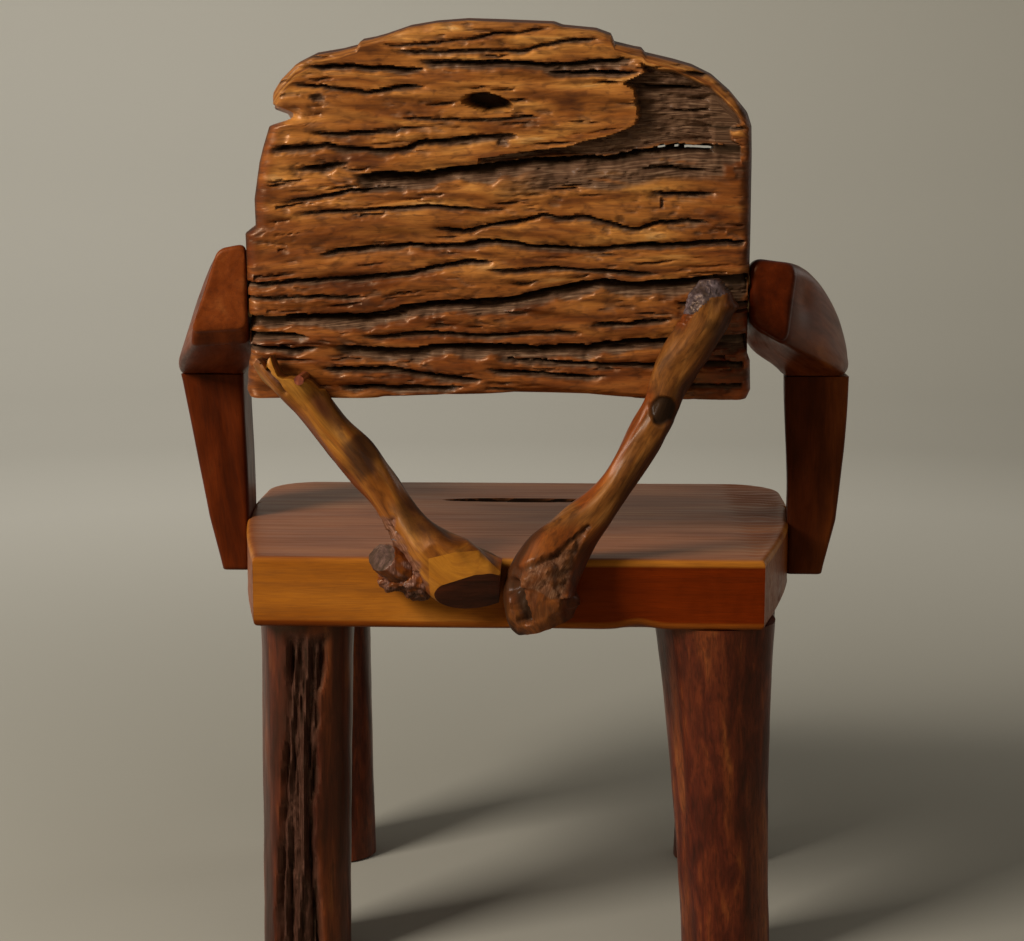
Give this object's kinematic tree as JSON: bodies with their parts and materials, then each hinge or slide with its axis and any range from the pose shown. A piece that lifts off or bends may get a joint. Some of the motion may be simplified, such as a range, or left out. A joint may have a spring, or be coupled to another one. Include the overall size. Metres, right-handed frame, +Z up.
{
  "type": "rustic log armchair",
  "caption": "Rustic armchair with a checked slab back, a thick slab seat, hewn log legs, sloping hewn arms on posts, and branch struts behind the seat.",
  "frame": {"origin": "on the floor under the middle of the chair's bounding box", "axes": "+Z up, the sitter faces -Y, +X at the sitter's left"},
  "size_m": [0.7112, 0.516, 0.9253],
  "materials": {
    "weathered_slab": "oiled and polished on the ridges, raw and dark in the checks",
    "polished_slab": "smooth, oiled and polished",
    "arm_wood": "hewn, smoothed and polished",
    "pale_branch": "peeled, smoothed and oiled",
    "dark_branch": "peeled, smoothed and oiled",
    "leg_wood": "hewn and polished",
    "weathered_leg": "polished, with a raw weathered hollow",
    "dowel_wood": "turned and unfinished",
    "peg_wood": "turned, trimmed and oiled"
  },
  "bodies": {
    "root": {"back_slab": "weathered_slab", "seat_slab": "polished_slab", "left_arm": "arm_wood", "right_arm": "arm_wood", "left_arm_post": "arm_wood", "right_arm_post": "arm_wood", "left_strut": "pale_branch", "right_strut": "dark_branch", "rear_left_leg": "weathered_leg", "rear_right_leg": "leg_wood", "front_left_leg": "leg_wood", "front_right_leg": "leg_wood", "rear_left_wedge": "dowel_wood", "rear_right_wedge": "dowel_wood", "front_left_wedge": "dowel_wood", "front_right_wedge": "dowel_wood", "left_arm_upper_dowel": "dowel_wood", "left_arm_lower_dowel": "dowel_wood", "right_arm_upper_dowel": "dowel_wood", "right_arm_lower_dowel": "dowel_wood", "left_post_rear_dowel": "dowel_wood", "left_post_front_dowel": "dowel_wood", "right_post_rear_dowel": "dowel_wood", "right_post_front_dowel": "dowel_wood", "left_strut_peg": "peg_wood", "right_strut_dowel": "dowel_wood", "left_foot_dowel": "dowel_wood", "right_foot_dowel": "dowel_wood"}
  },
  "joints": []
}
